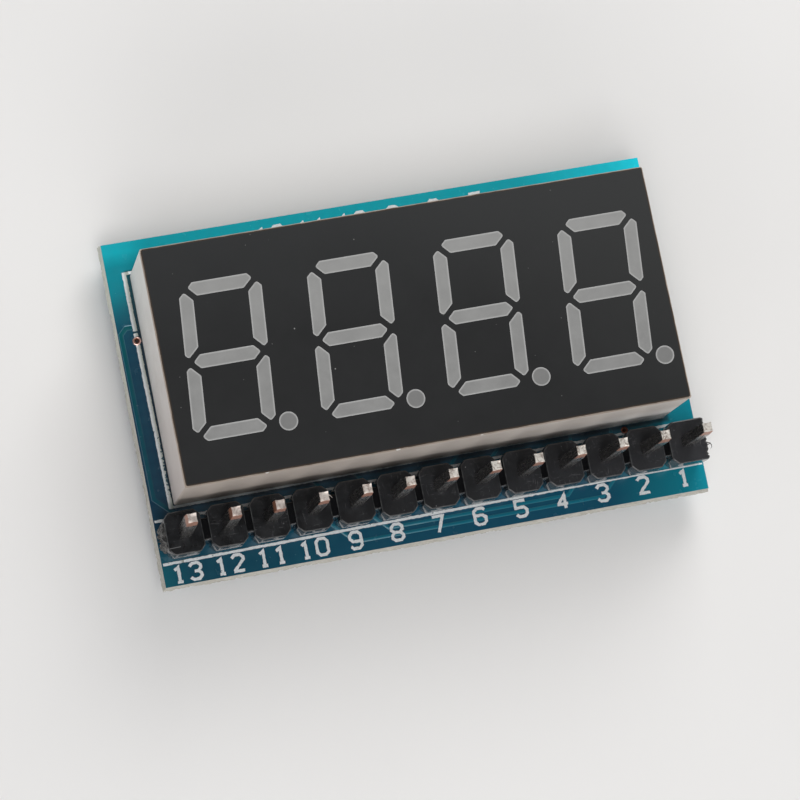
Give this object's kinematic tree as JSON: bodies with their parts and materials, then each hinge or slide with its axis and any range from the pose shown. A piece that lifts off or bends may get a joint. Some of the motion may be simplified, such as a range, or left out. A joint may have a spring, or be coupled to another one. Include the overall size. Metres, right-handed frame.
{
  "type": "seven segment display module",
  "caption": "LED display of slanted seven segment digits with decimal points, soldered to a small board beside a straight row of square header pins.",
  "frame": {"origin": "under the middle of the board, at the ends of the leads that stand out of its back", "axes": "+X along the board and the header's row, +Y towards the top of the digits, +Z out of the display's face"},
  "size_m": [0.0336, 0.021, 0.0105],
  "materials": {
    "laminate": "glass-epoxy laminate, snapped edge rough",
    "solder_mask": "blue-green solder mask, glossy",
    "ink": "printed white ink",
    "copper": "copper under solder mask",
    "housing": "moulded white plastic, semi-gloss",
    "film": "printed black face, satin",
    "epoxy": "cast milky epoxy, satin",
    "inner_board": "thin laminate",
    "die": "semiconductor die",
    "wire": "gold bond wire",
    "tinned_lead": "tinned, sheared ends",
    "header_plastic": "moulded black plastic, scuffed",
    "header_pin": "plated brass, sheared tips",
    "resistor": "ceramic chip with tinned ends",
    "transistor": "moulded body with tinned legs",
    "solder": "solder, bright"
  },
  "bodies": {
    "root": {"circuit_board": "laminate", "front_solder_mask": "solder_mask", "back_solder_mask": "solder_mask", "silkscreen": "ink", "front_copper": "copper", "back_copper": "copper", "plated_holes": "copper", "display_housing": "housing", "face_film": "film", "epoxy_fill": "epoxy", "display_board": "inner_board", "led_dies": "die", "bond_wires": "wire", "display_pin_1": "tinned_lead", "display_pin_2": "tinned_lead", "display_pin_3": "tinned_lead", "display_pin_4": "tinned_lead", "display_pin_5": "tinned_lead", "display_pin_6": "tinned_lead", "display_pin_7": "tinned_lead", "display_pin_8": "tinned_lead", "display_pin_9": "tinned_lead", "display_pin_10": "tinned_lead", "display_pin_11": "tinned_lead", "display_pin_12": "tinned_lead", "header_strip": "header_plastic", "header_pin_1": "header_pin", "header_pin_2": "header_pin", "header_pin_3": "header_pin", "header_pin_4": "header_pin", "header_pin_5": "header_pin", "header_pin_6": "header_pin", "header_pin_7": "header_pin", "header_pin_8": "header_pin", "header_pin_9": "header_pin", "header_pin_10": "header_pin", "header_pin_11": "header_pin", "header_pin_12": "header_pin", "header_pin_13": "header_pin", "resistor_1": "resistor", "resistor_2": "resistor", "resistor_3": "resistor", "resistor_4": "resistor", "resistor_5": "resistor", "resistor_6": "resistor", "resistor_7": "resistor", "resistor_8": "resistor", "resistor_9": "resistor", "resistor_10": "resistor", "resistor_11": "resistor", "resistor_12": "resistor", "transistor_1": "transistor", "transistor_2": "transistor", "transistor_3": "transistor", "transistor_4": "transistor", "header_solder": "solder", "display_solder": "solder", "smd_solder": "solder"}
  },
  "joints": []
}
